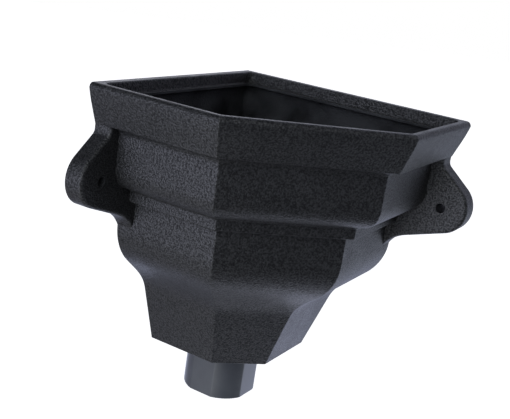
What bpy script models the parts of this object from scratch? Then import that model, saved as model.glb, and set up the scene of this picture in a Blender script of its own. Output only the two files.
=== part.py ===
"""Corner hopper head for a rainwater downpipe, moulded in one piece.

It sits in the inside corner of two house walls, takes the outlet of a gutter or waste pipe at its
open top, and drains through a spigot into the downpipe below. Metres, +Z up.

The head is drawn in the frame of the house corner: x and y run out along the two walls, z is 0 at the
top of the lip, and a size called a drop is measured down from there. The finished solid is then turned
so that its front faces -Y, centred on X and Y, and stands with its lowest face at z = 0.
"""
import math

import bmesh
import bpy
from mathutils import Vector

# Spigot: round, with four shallow flats, to suit round and square pipe
SPIGOT_RADIUS = 0.034
SPIGOT_FLAT_DEPTH = 0.002   # how far each flat is cut into the round
SPIGOT_WALL = 0.004
SPIGOT_LENGTH = 0.050
SPIGOT_TO_WALL = 0.0094     # clear gap from the spigot to each house wall
SPIGOT_CHAMFER = 0.001

# Plan: what runs along each house wall at the lip, and how far the base stands out past the spigot
WALL_RUN = 0.222
BASE_RIM = 0.0258
ARRIS_RADIUS = 0.0016       # rounding of the upright edges at the front
FILLET_RADIUS = 0.006       # rounding of the upright corners inside

# Lip, with a rebate inside it that ends on a narrow ledge
LIP_WIDTH = 0.0075
LIP_ROUNDING = 0.004
LIP_INNER_CHAMFER = 0.0012
REBATE_DEPTH = 0.0096
SHELF_WIDTH = 0.0028
SHELF_THICKNESS = 0.0025
SHELF_UNDERCUT = 0.012

# Mouldings on the front and sides, from the lip down: what each drops, and how far it steps in
FLARE_DROP = 0.0322
FLARE_STEP = 0.0105
FLARE_SWELL = 0.0005        # how far the flare bulges out from a straight slope
COVE_DROP = 0.0071
COVE_STEP = 0.0104
NECK_DROP = 0.0251
OVOLO_DROP = 0.0195
OVOLO_STEP = 0.0175
SPLAY_DROP = 0.0038
SPLAY_STEP = 0.0038
FASCIA_DROP = 0.0084
LEDGE_DROP = 0.0031
LEDGE_STEP = 0.0084
BAND_DROP = 0.0228
OGEE_SHOULDER_DROP = 0.033
OGEE_SHOULDER_STEP = 0.0154
OGEE_TOE_DROP = 0.035
OGEE_TOE_STEP = 0.0325
OGEE_TURN = math.radians(47.1)   # lean from plumb where the ogee's two curves meet
TAPER_DROP = 0.0559
BASE_ROUNDING = 0.0018

# Walls
WALL = 0.005
FLOOR = 0.006

# Fixing ears, flush with the house walls
EAR_THICKNESS = 0.0162
EAR_HOLE_SETBACK = 0.006    # hole centre, in from the side of the lip
EAR_HOLE_FALL = 0.0421      # hole centre, down from the flare's lower edge
EAR_HOLE_RADIUS = 0.004     # at the ear's face
EAR_HOLE_BACK_RADIUS = 0.0024    # at the house wall
EAR_LOBE_RADIUS = 0.023
EAR_LOBE_RISE = 0.001       # lobe's centre, above the hole's
EAR_TOP_SLOPE = math.radians(40)
EAR_FOOT_SLOPE = math.radians(19)
EAR_FOOT_FILLET = 0.034
EAR_TOP_FILLET = 0.006
EAR_ROOT_SETBACK = 0.0006   # ear's top, in from the flare's lower edge
EAR_EDGE_ROUNDING = 0.0016

# Smoothness of the round stretches
CURVE_STEPS = 6
CORNER_STEPS = 3
SPIGOT_STEPS = 8
LOBE_STEPS = 18
BORE_SIDES = 48
HOLE_SIDES = 32

# Extra length by which a cutter passes the face it cuts
OVERCUT = 0.010

COLOUR = (0.050, 0.053, 0.062, 1.0)
ROUGHNESS = 0.62

# Worked out from the sizes above
SPIGOT_AXIS = SPIGOT_TO_WALL + SPIGOT_RADIUS             # from each house wall
BASE_RUN = SPIGOT_AXIS + SPIGOT_RADIUS + BASE_RIM        # along each house wall, at the base
STEP_IN = WALL_RUN - BASE_RUN                            # of the base, from the lip
BAND_INSET = FLARE_STEP + COVE_STEP + OVOLO_STEP + SPLAY_STEP + LEDGE_STEP
TAPER_STEP = STEP_IN - BAND_INSET - OGEE_SHOULDER_STEP - OGEE_TOE_STEP
CORNER_TO_FRONT = math.sqrt(2) * SPIGOT_AXIS + SPIGOT_RADIUS + BASE_RIM + STEP_IN
EAR_HOLE_ALONG = WALL_RUN - EAR_HOLE_SETBACK             # from the house corner
EAR_HOLE_DROP = FLARE_DROP + EAR_HOLE_FALL


def quarter(start, step, drop, leaves_down):
    """Points of a quarter ellipse after start, which leaves it straight down or straight in."""
    inset, depth = start
    points = []
    for i in range(1, CURVE_STEPS + 1):
        angle = math.pi / 2 * i / CURVE_STEPS
        if leaves_down:
            points.append((inset + step * (1 - math.cos(angle)), depth + drop * math.sin(angle)))
        else:
            points.append((inset + step * math.sin(angle), depth + drop * (1 - math.cos(angle))))
    return points


def bow(start, step, drop, leave, arrive):
    """Points after start along one cubic curve; leave and arrive are slopes, in radians from plumb."""
    inset, depth = start
    reach = math.hypot(step, drop) / 3
    end = (inset + step, depth + drop)
    handles = (start, (inset + reach * math.sin(leave), depth + reach * math.cos(leave)),
               (end[0] - reach * math.sin(arrive), end[1] - reach * math.cos(arrive)), end)
    points = []
    for i in range(1, CURVE_STEPS + 1):
        t = i / CURVE_STEPS
        weights = ((1 - t) ** 3, 3 * t * (1 - t) ** 2, 3 * t * t * (1 - t), t ** 3)
        points.append(tuple(sum(w * h[axis] for w, h in zip(weights, handles)) for axis in (0, 1)))
    return points


def shifted(point, step, drop):
    return (point[0] + step, point[1] + drop)


def mouldings():
    """The outside of the front and sides as (inset, drop) pairs, from the lip's crest to the base."""
    line = [(LIP_ROUNDING, 0.0)]
    line += quarter(line[-1], -LIP_ROUNDING, LIP_ROUNDING, leaves_down=False)
    lean = math.atan2(FLARE_STEP, FLARE_DROP)
    swell = 4 * FLARE_SWELL / math.hypot(FLARE_STEP, FLARE_DROP)    # turn at each end of the bow
    line += bow(line[-1], FLARE_STEP, FLARE_DROP - LIP_ROUNDING, lean - swell, lean + swell)
    line += quarter(line[-1], COVE_STEP, COVE_DROP, leaves_down=False)
    line.append(shifted(line[-1], 0, NECK_DROP))
    line += quarter(line[-1], OVOLO_STEP, OVOLO_DROP, leaves_down=True)
    line.append(shifted(line[-1], SPLAY_STEP, SPLAY_DROP))
    line.append(shifted(line[-1], 0, FASCIA_DROP))
    line.append(shifted(line[-1], LEDGE_STEP, LEDGE_DROP))
    line.append(shifted(line[-1], 0, BAND_DROP))
    taper = math.atan2(TAPER_STEP, TAPER_DROP)
    line += bow(line[-1], OGEE_SHOULDER_STEP, OGEE_SHOULDER_DROP, 0, OGEE_TURN)
    line += bow(line[-1], OGEE_TOE_STEP, OGEE_TOE_DROP, OGEE_TURN, taper)
    share = 1 - BASE_ROUNDING / TAPER_DROP
    line.append(shifted(line[-1], TAPER_STEP * share, TAPER_DROP - BASE_ROUNDING))
    line += quarter(line[-1], BASE_ROUNDING, BASE_ROUNDING, leaves_down=True)
    return line


def offset_line(line, distance):
    """The same profile moved inwards by distance, with mitred corners."""
    moved = []
    for i, point in enumerate(line):
        before = line[max(i - 1, 0)]
        after = line[min(i + 1, len(line) - 1)]
        normals = []
        for a, b in ((before, point), (point, after)):
            run = Vector((b[0] - a[0], b[1] - a[1]))
            if run.length > 0:
                run.normalize()
                normals.append(Vector((run.y, -run.x)))
        mean = sum(normals, Vector((0, 0))) / len(normals)
        shift = mean / mean.length_squared * distance
        moved.append((point[0] + shift.x, point[1] + shift.y))
    return moved


def inset_at(line, drop):
    """Inset of a profile at a given drop."""
    for (inset_a, drop_a), (inset_b, drop_b) in zip(line, line[1:]):
        if drop_a <= drop < drop_b:
            return inset_a + (inset_b - inset_a) * (drop - drop_a) / (drop_b - drop_a)
    return line[-1][0]


def rounded(corner, before, after, radius, steps):
    """Points of an arc that rounds one corner of an outline, or the corner itself if it stays sharp."""
    if radius == 0:
        return [corner]
    corner, before, after = Vector(corner), Vector(before), Vector(after)
    to_before = (before - corner).normalized()
    to_after = (after - corner).normalized()
    half = to_before.angle(to_after) / 2
    centre = corner + (to_before + to_after).normalized() * radius / math.sin(half)
    start = corner + to_before * radius / math.tan(half) - centre
    turn = math.pi - 2 * half
    side = 1 if to_before.x * to_after.y - to_before.y * to_after.x < 0 else -1
    points = []
    for i in range(steps + 1):
        angle = side * turn * i / steps
        points.append((centre.x + start.x * math.cos(angle) - start.y * math.sin(angle),
                       centre.y + start.x * math.sin(angle) + start.y * math.cos(angle)))
    return points


def plan(inset, off_wall, front_radius, back_radius):
    """Five-sided plan: two house walls, two short sides square to them, and the front across."""
    side = WALL_RUN - inset
    diagonal = math.sqrt(2) * (CORNER_TO_FRONT - inset)
    corners = [(off_wall, off_wall), (side, off_wall), (side, diagonal - side),
               (diagonal - side, side), (off_wall, side)]
    radii = [back_radius, back_radius, front_radius, front_radius, back_radius]
    outline = []
    for i, corner in enumerate(corners):
        outline += rounded(corner, corners[i - 1], corners[(i + 1) % len(corners)], radii[i],
                           CORNER_STEPS)
    return outline


def new_object(name, mesh_builder):
    mesh = bpy.data.meshes.new(name)
    build = bmesh.new()
    mesh_builder(build)
    bmesh.ops.recalc_face_normals(build, faces=build.faces)
    build.to_mesh(mesh)
    build.free()
    made = bpy.data.objects.new(name, mesh)
    bpy.context.scene.collection.objects.link(made)
    return made


def loft(name, rings):
    """Closed solid through level rings, each given as (plan points, height), capped at both ends."""
    def build_rings(build):
        loops = [[build.verts.new((x, y, z)) for x, y in outline] for outline, z in rings]
        for upper, lower in zip(loops, loops[1:]):
            for i in range(len(upper)):
                j = (i + 1) % len(upper)
                build.faces.new((upper[i], lower[i], lower[j], upper[j]))
        build.faces.new(loops[0])
        build.faces.new(list(reversed(loops[-1])))
    return new_object(name, build_rings)


def shell_outside():
    """The head's outer form, solid, with the lip's crest at the top."""
    rings = [(plan(inset, 0, ARRIS_RADIUS, 0), -drop) for inset, drop in mouldings()]
    return loft("hopper_head", rings)


def cavity():
    """The space inside: chamfered mouth, rebate, shelf, and then one wall in from the mouldings."""
    outside = mouldings()
    inside = offset_line(outside, WALL)
    shelf = LIP_WIDTH + SHELF_WIDTH
    shelf_foot = REBATE_DEPTH + SHELF_THICKNESS
    undercut_foot = shelf_foot + SHELF_UNDERCUT
    floor_drop = outside[-1][1] - FLOOR
    mouth = LIP_WIDTH - LIP_INNER_CHAMFER - OVERCUT
    levels = [(mouth, mouth, -OVERCUT), (LIP_WIDTH, LIP_WIDTH, LIP_INNER_CHAMFER),
              (LIP_WIDTH, LIP_WIDTH, REBATE_DEPTH), (shelf, shelf, REBATE_DEPTH),
              (shelf, shelf, shelf_foot), (inset_at(inside, undercut_foot), WALL, undercut_foot)]
    levels += [(inset, WALL, drop) for inset, drop in inside if undercut_foot < drop < floor_drop]
    levels.append((inset_at(inside, floor_drop), WALL, floor_drop))
    rings = [(plan(inset, off_wall, FILLET_RADIUS / 2, FILLET_RADIUS), -drop)
             for inset, off_wall, drop in levels]
    return loft("cavity", rings)


def spigot_section(radius, across_flats):
    """Section of the spigot about its own axis: a circle cut by four flats."""
    reach = math.acos(min(1, across_flats / (2 * radius)))
    sweep = math.pi / 2 - 2 * reach
    points = []
    for quadrant in range(4):
        for i in range(SPIGOT_STEPS + 1):
            angle = quadrant * math.pi / 2 + reach + sweep * i / SPIGOT_STEPS
            points.append((radius * math.cos(angle), radius * math.sin(angle)))
    return points


def spigot(base_drop):
    """Outside of the spigot, from inside the floor down to its chamfered end."""
    end = base_drop + SPIGOT_LENGTH

    def ring(shrink, drop):
        section = spigot_section(SPIGOT_RADIUS - shrink,
                                 2 * (SPIGOT_RADIUS - SPIGOT_FLAT_DEPTH - shrink))
        return [(SPIGOT_AXIS + x, SPIGOT_AXIS + y) for x, y in section], -drop

    return loft("spigot", [ring(0, base_drop - FLOOR / 2), ring(0, end - SPIGOT_CHAMFER),
                           ring(SPIGOT_CHAMFER, end)])


def cone(name, start, end, start_radius, end_radius, sides):
    """Round cutter between two points."""
    start, end = Vector(start), Vector(end)

    def build_cone(build):
        bmesh.ops.create_cone(build, cap_ends=True, segments=sides, radius1=start_radius,
                              radius2=end_radius, depth=(end - start).length)
        turn = Vector((0, 0, 1)).rotation_difference(end - start).to_matrix()
        bmesh.ops.transform(build, matrix=turn.to_4x4(), verts=build.verts)
        bmesh.ops.translate(build, vec=(start + end) / 2, verts=build.verts)
    return new_object(name, build_cone)


def spigot_bore(base_drop):
    top = (SPIGOT_AXIS, SPIGOT_AXIS, -base_drop + FLOOR + OVERCUT)
    bottom = (SPIGOT_AXIS, SPIGOT_AXIS, -base_drop - SPIGOT_LENGTH - OVERCUT)
    radius = SPIGOT_RADIUS - SPIGOT_WALL
    return cone("spigot_bore", top, bottom, radius, radius, BORE_SIDES)


def ear_outline():
    """Face of an ear as (along the wall, drop) pairs, drawn round from its foot to its top."""
    centre = Vector((EAR_HOLE_ALONG, EAR_HOLE_DROP - EAR_LOBE_RISE))
    foot_turn = math.pi / 2 - EAR_FOOT_SLOPE
    top_turn = EAR_TOP_SLOPE - math.pi / 2
    lobe = []
    for i in range(LOBE_STEPS + 1):
        angle = foot_turn + (top_turn - foot_turn) * i / LOBE_STEPS
        lobe.append(tuple(centre + EAR_LOBE_RADIUS * Vector((math.cos(angle), math.sin(angle)))))

    inner_side = WALL_RUN - BAND_INSET - WALL / 2     # inside the body's wall, under its face
    inner_top = FLARE_DROP - WALL / 2
    root_side = WALL_RUN - FLARE_STEP - EAR_ROOT_SETBACK
    foot_run = lobe[0][0] - inner_side
    top_run = lobe[-1][0] - root_side
    foot_corner = (inner_side, lobe[0][1] + foot_run * math.tan(EAR_FOOT_SLOPE))
    top_corner = (root_side, lobe[-1][1] - top_run * math.tan(EAR_TOP_SLOPE))
    below = (inner_side, foot_corner[1] + EAR_FOOT_FILLET)
    foot = rounded(foot_corner, below, lobe[0], EAR_FOOT_FILLET, CURVE_STEPS)
    top = rounded(top_corner, lobe[-1], (root_side, inner_top), EAR_TOP_FILLET, CORNER_STEPS)
    return foot + lobe + top + [(root_side, inner_top), (inner_side, inner_top)]


def ear(name, on_left_wall):
    """One fixing ear, its back in the plane of the house wall and its front edges rounded."""
    def place(along, off_wall, drop):
        return (along, off_wall, -drop) if on_left_wall else (off_wall, along, -drop)

    def build_ear(build):
        back = [build.verts.new(place(along, 0, drop)) for along, drop in ear_outline()]
        face = build.faces.new(back)
        raised = bmesh.ops.extrude_face_region(build, geom=[face])
        front = [item for item in raised["geom"] if isinstance(item, bmesh.types.BMVert)]
        bmesh.ops.translate(build, vec=Vector(place(0, EAR_THICKNESS, 0)), verts=front)
        rim = [edge for edge in build.edges if all(vert in front for vert in edge.verts)]
        bmesh.ops.bevel(build, geom=rim, offset=EAR_EDGE_ROUNDING, segments=2, profile=0.5,
                        affect="EDGES", clamp_overlap=True)
    return new_object(name, build_ear)


def ear_hole(name, on_left_wall):
    """Cutter for a screw hole, which narrows towards the house wall."""
    draft = (EAR_HOLE_RADIUS - EAR_HOLE_BACK_RADIUS) / EAR_THICKNESS
    ends = []
    radii = []
    for off_wall in (-OVERCUT, EAR_THICKNESS + OVERCUT):
        radii.append(EAR_HOLE_BACK_RADIUS + draft * off_wall)
        if on_left_wall:
            ends.append((EAR_HOLE_ALONG, off_wall, -EAR_HOLE_DROP))
        else:
            ends.append((off_wall, EAR_HOLE_ALONG, -EAR_HOLE_DROP))
    return cone(name, ends[0], ends[1], radii[0], radii[1], HOLE_SIDES)


def combine(target, tool, operation):
    """Applies one Boolean to target and removes the tool."""
    step = target.modifiers.new(tool.name, "BOOLEAN")
    step.operation = operation
    step.solver = "EXACT"
    step.object = tool
    depsgraph = bpy.context.evaluated_depsgraph_get()
    mesh = bpy.data.meshes.new_from_object(target.evaluated_get(depsgraph))
    target.modifiers.clear()
    target.data = mesh
    bpy.data.objects.remove(tool)


def moulding_material():
    material = bpy.data.materials.new("cast_effect_plastic")
    material.use_nodes = True
    shader = material.node_tree.nodes["Principled BSDF"]
    shader.inputs["Base Color"].default_value = COLOUR
    shader.inputs["Roughness"].default_value = ROUGHNESS
    shader.inputs["Metallic"].default_value = 0.0
    return material


def finish(head, base_drop):
    """Turns the head to face -Y, stands it on z = 0 and gives it its shading and material."""
    head.rotation_euler.z = math.radians(-135)
    head.location = (0, CORNER_TO_FRONT / 2, base_drop + SPIGOT_LENGTH)
    head.data.shade_smooth()
    head.data.set_sharp_from_angle(angle=math.radians(30))
    head.data.materials.clear()
    head.data.materials.append(moulding_material())


def main():
    for existing in list(bpy.data.objects):
        bpy.data.objects.remove(existing)
    base_drop = mouldings()[-1][1]
    head = shell_outside()
    combine(head, ear("ear_left", True), "UNION")
    combine(head, ear("ear_right", False), "UNION")
    combine(head, spigot(base_drop), "UNION")
    combine(head, cavity(), "DIFFERENCE")
    combine(head, spigot_bore(base_drop), "DIFFERENCE")
    combine(head, ear_hole("ear_hole_left", True), "DIFFERENCE")
    combine(head, ear_hole("ear_hole_right", False), "DIFFERENCE")
    finish(head, base_drop)


main()
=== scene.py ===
"""Looks of a corner hopper head: one charcoal moulding with a fine cast grain and a smooth spigot.

Metres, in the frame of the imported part. As in the part's source, the head is drawn in the frame of the
house corner: x and y run out along the two house walls, z is 0 at the top of the lip, and a size called
a drop is measured down from there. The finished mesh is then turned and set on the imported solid's box.
"""

import math

import bmesh
import bpy
from mathutils import Matrix, Vector


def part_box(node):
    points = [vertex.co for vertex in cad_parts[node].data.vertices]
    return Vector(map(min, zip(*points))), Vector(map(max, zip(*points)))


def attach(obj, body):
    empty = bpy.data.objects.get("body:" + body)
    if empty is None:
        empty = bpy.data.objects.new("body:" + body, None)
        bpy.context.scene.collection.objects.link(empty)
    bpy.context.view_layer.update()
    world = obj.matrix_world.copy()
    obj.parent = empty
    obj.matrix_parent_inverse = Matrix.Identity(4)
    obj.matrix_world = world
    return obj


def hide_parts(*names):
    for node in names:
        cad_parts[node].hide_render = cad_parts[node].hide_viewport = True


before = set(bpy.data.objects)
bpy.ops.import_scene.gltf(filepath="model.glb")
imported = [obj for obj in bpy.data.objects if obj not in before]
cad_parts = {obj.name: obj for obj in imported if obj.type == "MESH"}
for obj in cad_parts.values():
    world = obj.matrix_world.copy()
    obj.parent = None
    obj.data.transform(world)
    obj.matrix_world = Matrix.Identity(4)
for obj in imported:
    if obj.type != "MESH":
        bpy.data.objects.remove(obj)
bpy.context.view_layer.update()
part_low, part_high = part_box("hopper_head")

# Spigot: round, with four shallow flats
SPIGOT_RADIUS = 0.034
SPIGOT_FLAT_DEPTH = 0.002
SPIGOT_WALL = 0.004
SPIGOT_LENGTH = 0.050
SPIGOT_TO_WALL = 0.0094     # gap between the spigot and each house wall
SPIGOT_CHAMFER = 0.001      # rounding of the spigot's lower end
SPIGOT_ROOT = 0.0012        # fillet where the spigot leaves the base
BORE_LEAD = 0.0006          # rounding at the bore's lower end
THROAT_ROUNDING = 0.002     # rounding where the floor turns down into the bore

# Plan
WALL_RUN = 0.222
BASE_RIM = 0.0258           # base beyond the spigot, in front and at the sides
ARRIS_RADIUS = 0.0016       # rounding of the upright edges between the faces
BACK_EDGE = 0.0007          # rounding of the edges that lie against the house walls
FILLET_RADIUS = 0.006       # rounding of the corners inside

# Lip, rebate and shelf
LIP_WIDTH = 0.0075
LIP_ROUNDING = 0.004
LIP_INNER_ROUNDING = 0.0012
REBATE_DEPTH = 0.0096
SHELF_WIDTH = 0.0028
SHELF_THICKNESS = 0.0025
SHELF_UNDERCUT = 0.012
SHELF_EDGE = 0.0005

# Mouldings, from the lip down
FLARE_DROP = 0.0322
FLARE_STEP = 0.0105
FLARE_SWELL = 0.0005
COVE_DROP = 0.0071
COVE_STEP = 0.0104
NECK_DROP = 0.0251
OVOLO_DROP = 0.0195
OVOLO_STEP = 0.0175
SPLAY_DROP = 0.0038
SPLAY_STEP = 0.0038
FASCIA_DROP = 0.0084
LEDGE_DROP = 0.0031
LEDGE_STEP = 0.0084
BAND_DROP = 0.0228
OGEE_SHOULDER_DROP = 0.033
OGEE_SHOULDER_STEP = 0.0154
OGEE_TOE_DROP = 0.035
OGEE_TOE_STEP = 0.0325
OGEE_TURN = math.radians(47.1)
TAPER_DROP = 0.0559
BASE_ROUNDING = 0.0018
MOULDING_EDGE = 0.0007      # rounding of the mouldings' own arrises
MOULDING_HOLLOW = 0.0010    # rounding of the hollows between them

# Walls
WALL = 0.005
FLOOR = 0.006

# Fixing ears
EAR_THICKNESS = 0.0162
EAR_HOLE_SETBACK = 0.006    # hole in from the end of the wall run
EAR_HOLE_FALL = 0.0421      # hole below the foot of the flare
EAR_HOLE_RADIUS = 0.004
EAR_HOLE_BACK_RADIUS = 0.0015
EAR_HOLE_EDGE = 0.0002      # rounding of the hole's rim
EAR_LOBE_RADIUS = 0.02293
EAR_LOBE_RISE = 0.001       # centre of the lobe above the hole
EAR_TOP_SLOPE = math.radians(40)
EAR_FOOT_SLOPE = math.radians(19)
EAR_FOOT_FILLET = 0.034
EAR_TOP_FILLET = 0.006
EAR_ROOT_SETBACK = 0.0006   # root of the ear in from the foot of the flare
EAR_EDGE_ROUNDING = 0.003

# Smoothness of the round stretches
CURVE_STEPS = 14            # each curve of the mouldings
CORNER_STEPS = 5            # each corner of the plan
EDGE_STEPS = 4              # each small rounding
SPIGOT_STEPS = 24           # each round quarter of the spigot
LOBE_STEPS = 48
HOLE_SIDES = 48
BORE_SIDES = 128
ROUND_PROFILE = 0.5         # bevel profile that is part of a circle
SHARP_ANGLE = math.radians(32)
FACE_WEIGHT = 100           # how far the large faces alone set the shading

# How far cutters reach past the faces that they open, and decimals of a metre that points keep
OVERCUT = 0.010
DECIMALS = 7

# Turn about Z from the frame of the house corner to the part's own
HOUSE_TURN = math.radians(-135)

# Worked out from the sizes above
SPIGOT_AXIS = SPIGOT_TO_WALL + SPIGOT_RADIUS
BASE_RUN = SPIGOT_AXIS + SPIGOT_RADIUS + BASE_RIM
STEP_IN = WALL_RUN - BASE_RUN
BAND_INSET = FLARE_STEP + COVE_STEP + OVOLO_STEP + SPLAY_STEP + LEDGE_STEP
TAPER_STEP = STEP_IN - BAND_INSET - OGEE_SHOULDER_STEP - OGEE_TOE_STEP
CORNER_TO_FRONT = math.sqrt(2) * SPIGOT_AXIS + SPIGOT_RADIUS + BASE_RIM + STEP_IN
EAR_HOLE_ALONG = WALL_RUN - EAR_HOLE_SETBACK
EAR_HOLE_DROP = FLARE_DROP + EAR_HOLE_FALL
SHELF_INSET = LIP_WIDTH + SHELF_WIDTH
SHELF_FOOT = REBATE_DEPTH + SHELF_THICKNESS

# Camera: where it stands, and how it looks, in degrees and millimetres of lens
CAMERA_PLACE = (-0.2039, -0.7133, 0.4118)
CAMERA_AZIMUTH = -15.50
CAMERA_ELEVATION = 16.30
CAMERA_ROLL = 8.65
CAMERA_LENS = 63.87
CAMERA_SENSOR = 36

# Finishes, in the order of the head's materials
CAST, SATIN, INSIDE_PAINTED_LIGHT_AND_SHADE = 0, 1, 2

# Noises: features per metre, octaves, and the stretch of values between one look and the other
GRAIN_SCALE = 700
GRAIN_DETAIL = 2
GRAIN_RANGE = (0.38, 0.62)
MOTTLE_SCALE = 45
MOTTLE_DETAIL = 4
MOTTLE_RANGE = (0.3, 0.7)
BLOTCH_SCALE = 30
BLOTCH_DETAIL = 3
BLOTCH_RANGE = (0.35, 0.65)
WAVE_SCALE = 60
WAVE_DETAIL = 3
WAVE_RANGE = (0.3, 0.7)

# Cast finish: pairs run from the pits to the grains, or from one patch of the mottle to the next
# The colour pair is painted shade in the pits and painted light on the grains
PIT_SHADE_AND_GRAIN_LIGHT_COLOURS = ((0.014, 0.0142, 0.0154, 1), (0.032, 0.0325, 0.035, 1))
CAST_SHEEN = (0.25, 0.75)
CAST_ROUGHNESS = (0.33, 0.43)
GRAIN_DEPTH = 0.0007

# Dull finish, inside the head and down the screw holes: a copy of the cast plastic whose blotchy colour is
# painted light and shade of the hollow
INSIDE_PAINTED_LIGHT_AND_SHADE_COLOURS = ((0.009, 0.0093, 0.0108, 1), (0.044, 0.0455, 0.051, 1))
DULL_ROUGHNESS = 0.7
DULL_SHEEN = 0.2

# Satin finish, on the spigot
SATIN_COLOURS = ((0.080, 0.086, 0.100, 1), (0.100, 0.107, 0.122, 1))
SATIN_ROUGHNESS = 0.28
SATIN_SHEEN = 0.74
WAVE_DEPTH = 0.00006

# Stage: a pale sheet some way below the object, which glows a little so that the camera sees it white
WHITE = (1, 1, 1, 1)
SHEET_BELOW = 0.22
SHEET_REACH = 6.0
SHEET_COLOUR = (0.86, 0.86, 0.86, 1)
SHEET_GLOW = 0.85

# Light: soft glows all round, each brightest along its own direction from the object. Azimuth 0 is in
# front, 90 on the right and 180 behind; colour times strength is the glow's radiance there.
GLOW_TIGHTNESS = 12
GLOWS = {
    "left": {"azimuth": -60, "elevation": 0, "strength": 3.15, "colour": (0.78, 0.81, 1)},
    "front_left_above": {"azimuth": -30, "elevation": 30, "strength": 2.43, "colour": (0.94, 0.99, 1)},
    "front_left_below": {"azimuth": -50, "elevation": -40, "strength": 1.01, "colour": (0.97, 1, 0.95)},
    "right": {"azimuth": 90, "elevation": 0, "strength": 0.55, "colour": (0.59, 0.64, 1)},
    "behind_right_below": {"azimuth": 120, "elevation": -40, "strength": 1.12, "colour": (0.68, 0.73, 1)},
    "behind_right_above": {"azimuth": 150, "elevation": 25, "strength": 0.74, "colour": (0.74, 0.79, 1)},
    "behind": {"azimuth": 180, "elevation": 0, "strength": 1.68, "colour": (0.89, 0.90, 1)},
    "behind_below": {"azimuth": 180, "elevation": -40, "strength": 1.17, "colour": (0.66, 0.73, 1)},
    "far_left_below": {"azimuth": -120, "elevation": -30, "strength": 0.17, "colour": (0.96, 0.89, 1)},
    "right_above": {"azimuth": 90, "elevation": 30, "strength": 0.96, "colour": (0.87, 0.87, 1)},
    "right_low": {"azimuth": 90, "elevation": -20, "strength": 0.90, "colour": (0.89, 0.97, 1)},
    "behind_below_right": {"azimuth": 120, "elevation": -70, "strength": 1.01, "colour": (0.82, 0.86, 1)},
    "behind_below_left": {"azimuth": -120, "elevation": -65, "strength": 0.32, "colour": (0.83, 0.85, 1)},
}


def quarter_turn(first, steps):
    """Angles in equal steps up to a right angle, from the first step on."""
    return [math.pi / 2 * i / steps for i in range(first, steps + 1)]


def quarter(start, step, drop, leaves_down):
    """Points of a quarter ellipse after start, which leaves it straight down or straight in."""
    inset, depth = start[:2]
    points = []
    for angle in quarter_turn(1, CURVE_STEPS):
        if leaves_down:
            points.append((inset + step * (1 - math.cos(angle)), depth + drop * math.sin(angle), 0))
        else:
            points.append((inset + step * math.sin(angle), depth + drop * (1 - math.cos(angle)), 0))
    return points


def bow(start, step, drop, leave, arrive):
    """Points after start along one cubic curve; leave and arrive are slopes, in radians from plumb."""
    inset, depth = start[:2]
    reach = math.hypot(step, drop) / 3
    end = (inset + step, depth + drop)
    handles = ((inset, depth), (inset + reach * math.sin(leave), depth + reach * math.cos(leave)),
               (end[0] - reach * math.sin(arrive), end[1] - reach * math.cos(arrive)), end)
    points = []
    for i in range(1, CURVE_STEPS + 1):
        t = i / CURVE_STEPS
        weights = ((1 - t) ** 3, 3 * t * (1 - t) ** 2, 3 * t * t * (1 - t), t ** 3)
        place = [sum(w * h[axis] for w, h in zip(weights, handles)) for axis in (0, 1)]
        points.append((place[0], place[1], 0))
    return points


def shifted(point, step, drop, rounding=0):
    """A profile's corner one step further in and one drop further down than a point."""
    return (point[0] + step, point[1] + drop, rounding)


def mouldings():
    """The front and sides as (inset, drop, rounding of that corner), from the lip's crest to the base."""
    line = [(LIP_ROUNDING, 0.0, 0)]
    line += quarter(line[-1], -LIP_ROUNDING, LIP_ROUNDING, leaves_down=False)
    lean = math.atan2(FLARE_STEP, FLARE_DROP)
    swell = 4 * FLARE_SWELL / math.hypot(FLARE_STEP, FLARE_DROP)    # turn that bows the middle so far
    line += bow(line[-1], FLARE_STEP, FLARE_DROP - LIP_ROUNDING, lean - swell, lean + swell)
    line[-1] = shifted(line[-1], 0, 0, MOULDING_EDGE)
    line += quarter(line[-1], COVE_STEP, COVE_DROP, leaves_down=False)
    line.append(shifted(line[-1], 0, NECK_DROP))
    line += quarter(line[-1], OVOLO_STEP, OVOLO_DROP, leaves_down=True)
    line[-1] = shifted(line[-1], 0, 0, MOULDING_HOLLOW)
    line.append(shifted(line[-1], SPLAY_STEP, SPLAY_DROP, MOULDING_HOLLOW))
    line.append(shifted(line[-1], 0, FASCIA_DROP, MOULDING_EDGE))
    line.append(shifted(line[-1], LEDGE_STEP, LEDGE_DROP, MOULDING_HOLLOW))
    line.append(shifted(line[-1], 0, BAND_DROP))
    taper = math.atan2(TAPER_STEP, TAPER_DROP)
    line += bow(line[-1], OGEE_SHOULDER_STEP, OGEE_SHOULDER_DROP, 0, OGEE_TURN)
    line += bow(line[-1], OGEE_TOE_STEP, OGEE_TOE_DROP, OGEE_TURN, taper)
    share = 1 - BASE_ROUNDING / TAPER_DROP
    line.append(shifted(line[-1], TAPER_STEP * share, TAPER_DROP - BASE_ROUNDING))
    line += quarter(line[-1], BASE_ROUNDING, BASE_ROUNDING, leaves_down=True)
    return line


def offset_line(line, distance):
    """The same profile moved inwards by distance, with mitred corners that keep their rounding."""
    moved = []
    for i, point in enumerate(line):
        before = line[max(i - 1, 0)]
        after = line[min(i + 1, len(line) - 1)]
        normals = []
        for a, b in ((before, point), (point, after)):
            run = Vector((b[0] - a[0], b[1] - a[1]))
            if run.length > 0:
                run.normalize()
                normals.append(Vector((run.y, -run.x)))
        mean = sum(normals, Vector((0, 0))) / len(normals)
        shift = mean / mean.length_squared * distance
        moved.append((point[0] + shift.x, point[1] + shift.y, point[2]))
    return moved


def inset_at(line, drop):
    """Inset of a profile at a given drop."""
    for here, below in zip(line, line[1:]):
        if here[1] <= drop < below[1]:
            return here[0] + (below[0] - here[0]) * (drop - here[1]) / (below[1] - here[1])
    return line[-1][0]


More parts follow.
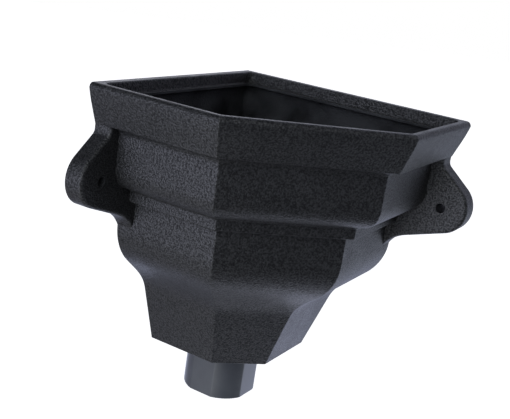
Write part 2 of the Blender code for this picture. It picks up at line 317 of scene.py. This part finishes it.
def rounded(corner, before, after, radius, steps):
    """Points of an arc that rounds one corner of an outline, or the corner itself if it stays sharp."""
    if radius == 0:
        return [tuple(corner)]
    corner, before, after = Vector(corner), Vector(before), Vector(after)
    to_before = (before - corner).normalized()
    to_after = (after - corner).normalized()
    half = to_before.angle(to_after) / 2
    centre = corner + (to_before + to_after).normalized() * radius / math.sin(half)
    start = corner + to_before * radius / math.tan(half) - centre
    turn = math.pi - 2 * half
    side = 1 if to_before.x * to_after.y - to_before.y * to_after.x < 0 else -1
    points = []
    for i in range(steps + 1):
        angle = side * turn * i / steps
        points.append((centre.x + start.x * math.cos(angle) - start.y * math.sin(angle),
                       centre.y + start.x * math.sin(angle) + start.y * math.cos(angle)))
    return points


def softened(line):
    """A profile with its marked corners rounded, as (inset, drop) pairs."""
    points = []
    for i, (inset, drop, rounding) in enumerate(line):
        before = line[max(i - 1, 0)][:2]
        after = line[min(i + 1, len(line) - 1)][:2]
        points += rounded((inset, drop), before, after, rounding, EDGE_STEPS)
    return points


def plan(inset, off_wall, front_radius, side_radius, back_radius):
    """Five-sided plan: two house walls, two short sides square to them, and the front across."""
    side = WALL_RUN - inset
    diagonal = math.sqrt(2) * (CORNER_TO_FRONT - inset)
    corners = [(off_wall, off_wall), (side, off_wall), (side, diagonal - side),
               (diagonal - side, side), (off_wall, side)]
    radii = [back_radius, side_radius, front_radius, front_radius, side_radius]
    outline = []
    for i, corner in enumerate(corners):
        outline += rounded(corner, corners[i - 1], corners[(i + 1) % len(corners)], radii[i],
                           CORNER_STEPS)
    return outline


def new_object(name, mesh_builder):
    """Object whose mesh is what mesh_builder leaves in a bmesh."""
    mesh = bpy.data.meshes.new(name)
    build = bmesh.new()
    mesh_builder(build)
    bmesh.ops.recalc_face_normals(build, faces=build.faces)
    build.to_mesh(mesh)
    build.free()
    made = bpy.data.objects.new(name, mesh)
    bpy.context.scene.collection.objects.link(made)
    return made


def settled(point):
    """A point without rounding dust, so that faces meant to lie in one plane do so exactly."""
    return tuple(round(value, DECIMALS) for value in point)


def loft(name, rings):
    """Closed solid through rings, each a list of points in space, capped at both ends."""
    def build_rings(build):
        loops = [[build.verts.new(settled(point)) for point in ring] for ring in rings]
        for upper, lower in zip(loops, loops[1:]):
            for i in range(len(upper)):
                j = (i + 1) % len(upper)
                build.faces.new((upper[i], lower[i], lower[j], upper[j]))
        build.faces.new(loops[0])
        build.faces.new(list(reversed(loops[-1])))
    return new_object(name, build_rings)


def back_edge_offset(drop, base_drop):
    """How far the house wall faces stand in at a drop, where their top and bottom edges are rounded."""
    depth = min(drop, base_drop - drop)
    if depth >= BACK_EDGE:
        return 0.0
    return BACK_EDGE - math.sqrt(max(0, BACK_EDGE ** 2 - (BACK_EDGE - depth) ** 2))


def outside_levels(base_drop):
    """Outer surface from the base up to the lip's crest, as (inset, wall face offset, drop)."""
    line = softened(mouldings())
    extra = []
    for angle in quarter_turn(1, EDGE_STEPS)[:-1]:
        depth = BACK_EDGE * (1 - math.cos(angle))
        extra += [(inset_at(line, depth), depth), (inset_at(line, base_drop - depth), base_drop - depth)]
    extra.append((inset_at(line, BACK_EDGE), BACK_EDGE))
    levels = sorted(line + extra, key=lambda point: point[1], reverse=True)
    return [(inset, back_edge_offset(drop, base_drop), drop) for inset, drop in levels]


def mouth_levels():
    """Hollow from above the lip down past the rebate to the shelf's inner edge."""
    top = LIP_WIDTH - LIP_INNER_ROUNDING
    line = [(top, 0.0, 0), (LIP_WIDTH, 0.0, LIP_INNER_ROUNDING), (LIP_WIDTH, REBATE_DEPTH, SHELF_EDGE),
            (SHELF_INSET, REBATE_DEPTH, SHELF_EDGE), (SHELF_INSET, SHELF_FOOT, SHELF_EDGE),
            (WALL, SHELF_FOOT + SHELF_UNDERCUT, 0)]
    return [(top, top, -OVERCUT)] + [(inset, inset, drop) for inset, drop in softened(line)[1:-1]]


def undercut_levels(inside):
    """Soft hollow from the shelf's inner edge out to the walls; inside is their inner profile."""
    levels = []
    for angle in quarter_turn(1, CURVE_STEPS):
        drop = SHELF_FOOT + SHELF_EDGE + (SHELF_UNDERCUT - SHELF_EDGE) * (1 - math.cos(angle))
        share = math.sin(angle)
        inset = SHELF_INSET + (inset_at(inside, drop) - SHELF_INSET) * share
        levels.append((inset, SHELF_INSET + (WALL - SHELF_INSET) * share, drop))
    return levels


def inside_levels(base_drop):
    """The hollow from above the lip to the floor, as (inset, wall face offset, drop)."""
    inside = softened(offset_line(mouldings(), WALL))
    floor_drop = base_drop - FLOOR
    levels = mouth_levels() + undercut_levels(inside)
    for inset, drop in inside:
        if levels[-1][2] < drop < floor_drop:       # leaves out where the inner line folds back
            levels.append((inset, WALL, drop))
    levels.append((inset_at(inside, floor_drop), WALL, floor_drop))
    return levels


def body(base_drop):
    """The outside of the body as a solid, from the base up to the lip's crest."""
    rings = []
    for inset, off_wall, drop in outside_levels(base_drop):
        outline = plan(inset, off_wall, ARRIS_RADIUS, BACK_EDGE, BACK_EDGE)
        rings.append([(x, y, -drop) for x, y in outline])
    return loft("head_surface", rings)


def hollow(base_drop):
    """Cutter for the inside, from above the lip to the floor; from the shelf down it takes the dull
    finish, whose colour is painted light and shade.
    """
    rings = []
    for inset, off_wall, drop in inside_levels(base_drop):
        outline = plan(inset, off_wall, FILLET_RADIUS / 2, FILLET_RADIUS, FILLET_RADIUS)
        rings.append([(x, y, -drop) for x, y in outline])
    cutter = loft("hollow", rings)
    for face in cutter.data.polygons:
        face.material_index = INSIDE_PAINTED_LIGHT_AND_SHADE if face.center.z < -REBATE_DEPTH - SHELF_EDGE else CAST
    return cutter


def spigot_section(radius, across_flats):
    """Section of the spigot about its own axis: a circle cut by four flats."""
    reach = math.acos(min(1, across_flats / (2 * radius)))
    sweep = math.pi / 2 - 2 * reach
    points = []
    for quadrant in range(4):
        for i in range(SPIGOT_STEPS + 1):
            angle = quadrant * math.pi / 2 + reach + sweep * i / SPIGOT_STEPS
            points.append((radius * math.cos(angle), radius * math.sin(angle)))
    return points


def spigot(base_drop):
    """Outside of the spigot, from inside the floor down to its softened end."""
    end = base_drop + SPIGOT_LENGTH

    def ring(shrink, drop):
        across = 2 * (SPIGOT_RADIUS - SPIGOT_FLAT_DEPTH - shrink)
        section = spigot_section(SPIGOT_RADIUS - shrink, across)
        return [(SPIGOT_AXIS + x, SPIGOT_AXIS + y, -drop) for x, y in section]

    rings = [ring(-SPIGOT_ROOT, base_drop - FLOOR / 2)]
    for angle in quarter_turn(0, EDGE_STEPS):
        rings.append(ring(-SPIGOT_ROOT * (1 - math.sin(angle)),
                          base_drop + SPIGOT_ROOT * (1 - math.cos(angle))))
    for angle in quarter_turn(0, EDGE_STEPS):
        rings.append(ring(SPIGOT_CHAMFER * (1 - math.cos(angle)),
                          end - SPIGOT_CHAMFER * (1 - math.sin(angle))))
    return loft("spigot", rings)


def turned(name, rows, foot, axis, sides):
    """Solid of revolution: rows are (distance along axis from foot, radius)."""
    axis = Vector(axis)
    across = axis.orthogonal().normalized()
    beside = axis.cross(across)
    rings = []
    for along, radius in rows:
        centre = Vector(foot) + axis * along
        rings.append([centre + radius * (across * math.cos(2 * math.pi * i / sides)
                                         + beside * math.sin(2 * math.pi * i / sides))
                      for i in range(sides)])
    return loft(name, rings)


def mouth(face, outward, radius, rounding):
    """Rows of a bore cutter where it passes a face, opening out in a rounding unless that is 0."""
    rows = []
    for angle in quarter_turn(0, EDGE_STEPS) if rounding else []:
        rows.append((face - outward * rounding * (1 - math.sin(angle)),
                     radius + rounding * (1 - math.cos(angle))))
    rows.append((face + outward * OVERCUT, radius + rounding))
    return rows


def bore(length, start_radius, start_rounding, end_radius, end_rounding):
    """Rows of a bore cutter from one face to another, length apart."""
    start = mouth(0, -1, start_radius, start_rounding)
    return list(reversed(start)) + mouth(length, 1, end_radius, end_rounding)


def spigot_bore(base_drop):
    """Cutter for the outlet, from the spigot's end up through the floor."""
    radius = SPIGOT_RADIUS - SPIGOT_WALL
    rows = bore(SPIGOT_LENGTH + FLOOR, radius, BORE_LEAD, radius, THROAT_ROUNDING)
    foot = (SPIGOT_AXIS, SPIGOT_AXIS, -base_drop - SPIGOT_LENGTH)
    return turned("spigot_bore", rows, foot, (0, 0, 1), BORE_SIDES)


def ear_outline():
    """Face of an ear as (along the wall, drop) pairs, drawn round from its foot to its top."""
    centre = Vector((EAR_HOLE_ALONG, EAR_HOLE_DROP - EAR_LOBE_RISE))
    foot_turn = math.pi / 2 - EAR_FOOT_SLOPE
    top_turn = EAR_TOP_SLOPE - math.pi / 2
    lobe = []
    for i in range(LOBE_STEPS + 1):
        angle = foot_turn + (top_turn - foot_turn) * i / LOBE_STEPS
        lobe.append(tuple(centre + EAR_LOBE_RADIUS * Vector((math.cos(angle), math.sin(angle)))))

    inner_side = WALL_RUN - BAND_INSET - WALL
    inner_top = FLARE_DROP - WALL / 2
    root_side = WALL_RUN - FLARE_STEP - EAR_ROOT_SETBACK
    foot_run = lobe[0][0] - inner_side
    top_run = lobe[-1][0] - root_side
    foot_corner = (inner_side, lobe[0][1] + foot_run * math.tan(EAR_FOOT_SLOPE))
    top_corner = (root_side, lobe[-1][1] - top_run * math.tan(EAR_TOP_SLOPE))
    below = (inner_side, foot_corner[1] + EAR_FOOT_FILLET)
    foot = rounded(foot_corner, below, lobe[0], EAR_FOOT_FILLET, CURVE_STEPS)
    top = rounded(top_corner, lobe[-1], (root_side, inner_top), EAR_TOP_FILLET, CORNER_STEPS)
    return foot + lobe + top + [(root_side, inner_top), (inner_side, inner_top)]


def ear(name, on_left_wall):
    """One fixing ear, its back in the plane of the house wall and its front edges rounded."""
    def place(along, off_wall, drop):
        return (along, off_wall, -drop) if on_left_wall else (off_wall, along, -drop)

    def build_ear(build):
        back = [build.verts.new(settled(place(along, 0, drop))) for along, drop in ear_outline()]
        face = build.faces.new(back)
        raised = bmesh.ops.extrude_face_region(build, geom=[face])
        front = [item for item in raised["geom"] if isinstance(item, bmesh.types.BMVert)]
        bmesh.ops.translate(build, vec=Vector(place(0, EAR_THICKNESS, 0)), verts=front)
        rim = [edge for edge in build.edges if all(vert in front for vert in edge.verts)]
        bmesh.ops.bevel(build, geom=rim, offset=EAR_EDGE_ROUNDING, segments=EDGE_STEPS,
                        profile=ROUND_PROFILE, affect="EDGES", clamp_overlap=False)
    return new_object(name, build_ear)


def ear_hole(name, on_left_wall):
    """Cutter for a screw hole, which narrows from the ear's face to the house wall."""
    rows = bore(EAR_THICKNESS, EAR_HOLE_BACK_RADIUS, 0, EAR_HOLE_RADIUS, EAR_HOLE_EDGE)
    if on_left_wall:
        return turned(name, rows, (EAR_HOLE_ALONG, 0, -EAR_HOLE_DROP), (0, 1, 0), HOLE_SIDES)
    return turned(name, rows, (0, EAR_HOLE_ALONG, -EAR_HOLE_DROP), (1, 0, 0), HOLE_SIDES)


def painted(tool, finish):
    """The tool with all its faces in one of the finishes."""
    for face in tool.data.polygons:
        face.material_index = finish
    return tool


def combine(target, tool, operation):
    """Applies one Boolean to target, in which the tool's faces keep their finish, and removes the tool."""
    for material in target.data.materials:
        tool.data.materials.append(material)
    step = target.modifiers.new(tool.name, "BOOLEAN")
    step.operation = operation
    step.solver = "EXACT"
    step.object = tool
    depsgraph = bpy.context.evaluated_depsgraph_get()
    mesh = bpy.data.meshes.new_from_object(target.evaluated_get(depsgraph))
    target.modifiers.clear()
    target.data = mesh
    bpy.data.objects.remove(tool)


def build_head():
    """The whole moulding as one mesh, in the frame of the house corner."""
    base_drop = mouldings()[-1][1]
    head = body(base_drop)
    for material in (cast_material(), spigot_material(), inside_painted_light_and_shade_material()):
        head.data.materials.append(material)
    combine(head, ear("ear_left", True), "UNION")
    combine(head, ear("ear_right", False), "UNION")
    combine(head, painted(spigot(base_drop), SATIN), "UNION")
    combine(head, hollow(base_drop), "DIFFERENCE")
    combine(head, painted(spigot_bore(base_drop), SATIN), "DIFFERENCE")
    # The screw holes take the dull finish of painted light and shade, which keeps them dark
    combine(head, painted(ear_hole("ear_hole_left", True), INSIDE_PAINTED_LIGHT_AND_SHADE), "DIFFERENCE")
    combine(head, painted(ear_hole("ear_hole_right", False), INSIDE_PAINTED_LIGHT_AND_SHADE), "DIFFERENCE")
    return head


def set_in_frame(head):
    """Turns the mesh to face -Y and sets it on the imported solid: house corner, lip top."""
    turn = Matrix.Rotation(HOUSE_TURN, 4, "Z")
    head.data.transform(Matrix.Translation((0, part_high.y, part_high.z)) @ turn)


def new_material(name):
    """A material, with its node tree and the shader in it."""
    material = bpy.data.materials.new(name)
    material.use_nodes = True
    return material, material.node_tree, material.node_tree.nodes["Principled BSDF"]


def ramp(tree, factor, from_range, colours):
    """A noise's factor carried over from a range to the stretch between two colours."""
    node = tree.nodes.new("ShaderNodeValToRGB")
    for element, position, colour in zip(node.color_ramp.elements, from_range, colours):
        element.position = position
        element.color = colour
    tree.links.new(factor, node.inputs["Fac"])
    return node.outputs["Color"]


def spread(tree, factor, from_range, to_range):
    """A noise's factor carried over from one range to another."""
    node = tree.nodes.new("ShaderNodeMapRange")
    node.inputs["From Min"].default_value, node.inputs["From Max"].default_value = from_range
    node.inputs["To Min"].default_value, node.inputs["To Max"].default_value = to_range
    tree.links.new(factor, node.inputs["Value"])
    return node.outputs["Result"]


def noise(tree, scale, detail):
    """Factor of a noise that is fixed to the object."""
    place = tree.nodes.new("ShaderNodeTexCoord")
    node = tree.nodes.new("ShaderNodeTexNoise")
    node.inputs["Scale"].default_value = scale
    node.inputs["Detail"].default_value = detail
    tree.links.new(place.outputs["Object"], node.inputs["Vector"])
    return node.outputs["Fac"]


def bumped(tree, height, depth):
    """Normal of a surface that a noise's factor raises by up to depth."""
    node = tree.nodes.new("ShaderNodeBump")
    node.inputs["Distance"].default_value = depth
    tree.links.new(height, node.inputs["Height"])
    return node.outputs["Normal"]


def cast_material():
    """Charcoal plastic with a fine cast grain: duller pits with painted shade in their colour, between
    shinier grains with painted light in theirs.
    """
    material, tree, shader = new_material("cast_effect_plastic")
    grain = noise(tree, GRAIN_SCALE, GRAIN_DETAIL)
    mottle = noise(tree, MOTTLE_SCALE, MOTTLE_DETAIL)
    # Colour from the grain: painted shade in the pits, painted light on the grains
    tint = ramp(tree, grain, GRAIN_RANGE, PIT_SHADE_AND_GRAIN_LIGHT_COLOURS)
    roughness = spread(tree, mottle, MOTTLE_RANGE, CAST_ROUGHNESS)
    sheen = spread(tree, grain, GRAIN_RANGE, CAST_SHEEN)
    tree.links.new(tint, shader.inputs["Base Color"])
    tree.links.new(roughness, shader.inputs["Roughness"])
    tree.links.new(sheen, shader.inputs["Specular IOR Level"])
    tree.links.new(bumped(tree, grain, GRAIN_DEPTH), shader.inputs["Normal"])
    return material


def spigot_material():
    """The same plastic where the mould is smooth: satin, with faint waviness."""
    material, tree, shader = new_material("smooth_plastic")
    waves = noise(tree, WAVE_SCALE, WAVE_DETAIL)
    tint = ramp(tree, waves, WAVE_RANGE, SATIN_COLOURS)
    tree.links.new(tint, shader.inputs["Base Color"])
    tree.links.new(bumped(tree, waves, WAVE_DEPTH), shader.inputs["Normal"])
    shader.inputs["Roughness"].default_value = SATIN_ROUGHNESS
    shader.inputs["Specular IOR Level"].default_value = SATIN_SHEEN
    return material


def inside_painted_light_and_shade_material():
    """The same plastic inside the head and down the screw holes: dull, with soft blotches of painted light
    and shade in place of how light falls in the hollow.
    """
    material, tree, shader = new_material("dull_plastic_painted_light_and_shade")
    painted_light_and_shade_blotches = noise(tree, BLOTCH_SCALE, BLOTCH_DETAIL)
    grain = noise(tree, GRAIN_SCALE, GRAIN_DETAIL)
    # Blotchy colour: painted light and shade of the hollow
    tint = ramp(tree, painted_light_and_shade_blotches, BLOTCH_RANGE, INSIDE_PAINTED_LIGHT_AND_SHADE_COLOURS)
    tree.links.new(tint, shader.inputs["Base Color"])
    tree.links.new(bumped(tree, grain, GRAIN_DEPTH), shader.inputs["Normal"])
    shader.inputs["Roughness"].default_value = DULL_ROUGHNESS
    shader.inputs["Specular IOR Level"].default_value = DULL_SHEEN
    return material


def shade(head):
    """Smooth shading that keeps flat faces even and arrises sharp."""
    head.data.shade_smooth()
    head.data.set_sharp_from_angle(angle=SHARP_ANGLE)
    weighted = head.modifiers.new("even_faces", "WEIGHTED_NORMAL")
    weighted.keep_sharp = True
    weighted.weight = FACE_WEIGHT


def toward(azimuth, elevation):
    """Unit vector from the object, both angles in degrees."""
    turn, rise = math.radians(azimuth), math.radians(elevation)
    return Vector((math.sin(turn) * math.cos(rise), -math.cos(turn) * math.cos(rise), math.sin(rise)))


def maths(tree, kind, operation):
    """Node of a kind, for numbers or for vectors, set to one operation."""
    node = tree.nodes.new(kind)
    node.operation = operation
    return node


def one_glow(tree, direction, glow):
    """Socket with one glow's light along a direction socket; it fades away from the glow's own."""
    facing = maths(tree, "ShaderNodeVectorMath", "DOT_PRODUCT")
    facing.inputs[1].default_value = toward(glow["azimuth"], glow["elevation"])
    tree.links.new(direction, facing.inputs[0])
    ahead = maths(tree, "ShaderNodeMath", "MAXIMUM")
    ahead.inputs[1].default_value = 0
    tree.links.new(facing.outputs["Value"], ahead.inputs[0])
    fall = maths(tree, "ShaderNodeMath", "POWER")
    fall.inputs[1].default_value = GLOW_TIGHTNESS
    tree.links.new(ahead.outputs["Value"], fall.inputs[0])
    tint = maths(tree, "ShaderNodeVectorMath", "SCALE")
    tint.inputs[0].default_value = Vector(glow["colour"]) * glow["strength"]
    tree.links.new(fall.outputs["Value"], tint.inputs["Scale"])
    return tint.outputs["Vector"]


def glow_colour(tree, direction):
    """Socket with the sum of all glows along a direction socket."""
    total, *others = [one_glow(tree, direction, glow) for glow in GLOWS.values()]
    for light in others:
        both = maths(tree, "ShaderNodeVectorMath", "ADD")
        tree.links.new(total, both.inputs[0])
        tree.links.new(light, both.inputs[1])
        total = both.outputs["Vector"]
    return total


def mix_for_camera(tree, lighting, seen):
    """Shader that is seen by the camera as one thing and lights the object as another."""
    ray = tree.nodes.new("ShaderNodeLightPath")
    mix = tree.nodes.new("ShaderNodeMixShader")
    tree.links.new(ray.outputs["Is Camera Ray"], mix.inputs["Fac"])
    tree.links.new(lighting, mix.inputs[1])
    tree.links.new(seen, mix.inputs[2])
    return mix.outputs["Shader"]


def floor_material():
    """White sheet that keeps the object's shadow, and gives the object the glows from below."""
    material, tree, shader = new_material("floor_white")
    tree.nodes.remove(shader)
    where = tree.nodes.new("ShaderNodeNewGeometry")
    offset = maths(tree, "ShaderNodeVectorMath", "SUBTRACT")
    offset.inputs[1].default_value = (part_low + part_high) / 2
    tree.links.new(where.outputs["Position"], offset.inputs[0])
    direction = maths(tree, "ShaderNodeVectorMath", "NORMALIZE")
    tree.links.new(offset.outputs["Vector"], direction.inputs[0])
    lighting = tree.nodes.new("ShaderNodeEmission")
    tree.links.new(glow_colour(tree, direction.outputs["Vector"]), lighting.inputs["Color"])
    matt = tree.nodes.new("ShaderNodeBsdfDiffuse")
    matt.inputs["Color"].default_value = SHEET_COLOUR
    fill = tree.nodes.new("ShaderNodeEmission")
    fill.inputs["Strength"].default_value = SHEET_GLOW
    sheet = tree.nodes.new("ShaderNodeAddShader")
    tree.links.new(matt.outputs["BSDF"], sheet.inputs[0])
    tree.links.new(fill.outputs["Emission"], sheet.inputs[1])
    surface = mix_for_camera(tree, lighting.outputs["Emission"], sheet.outputs["Shader"])
    tree.links.new(surface, tree.nodes["Material Output"].inputs["Surface"])
    return material


def add_floor():
    """The pale sheet, as part of the stage."""
    def build_floor(build):
        bmesh.ops.create_grid(build, x_segments=1, y_segments=1, size=SHEET_REACH)
    floor = new_object("floor", build_floor)
    floor.location.z = part_low.z - SHEET_BELOW
    floor.data.materials.append(floor_material())


def add_world():
    """White to the camera; for the light, the glows and nothing between them."""
    world = bpy.data.worlds.new("studio")
    bpy.context.scene.world = world
    world.use_nodes = True
    tree = world.node_tree
    seen = tree.nodes["Background"]
    seen.inputs["Color"].default_value = WHITE
    seen.inputs["Strength"].default_value = 1
    lighting = tree.nodes.new("ShaderNodeBackground")
    place = tree.nodes.new("ShaderNodeTexCoord")
    tree.links.new(glow_colour(tree, place.outputs["Generated"]), lighting.inputs["Color"])
    surface = mix_for_camera(tree, lighting.outputs["Background"], seen.outputs["Background"])
    tree.links.new(surface, tree.nodes["World Output"].inputs["Surface"])


def add_camera():
    """The photo's camera, which looks back along the direction in which it stands."""
    data = bpy.data.cameras.new("camera")
    data.lens = CAMERA_LENS
    data.sensor_width = CAMERA_SENSOR
    camera = bpy.data.objects.new("camera", data)
    bpy.context.scene.collection.objects.link(camera)
    back = toward(CAMERA_AZIMUTH, CAMERA_ELEVATION)
    level = (-back).to_track_quat("-Z", "Y").to_matrix()
    roll = Matrix.Rotation(math.radians(CAMERA_ROLL), 3, "Z")
    camera.matrix_world = Matrix.Translation(CAMERA_PLACE) @ (level @ roll).to_4x4()
    bpy.context.scene.camera = camera


def main():
    """Builds the head and the stage."""
    bpy.context.scene.view_settings.view_transform = "Standard"
    head = build_head()
    set_in_frame(head)
    shade(head)
    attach(head, "root")
    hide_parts("hopper_head")
    add_floor()
    add_world()
    add_camera()


main()
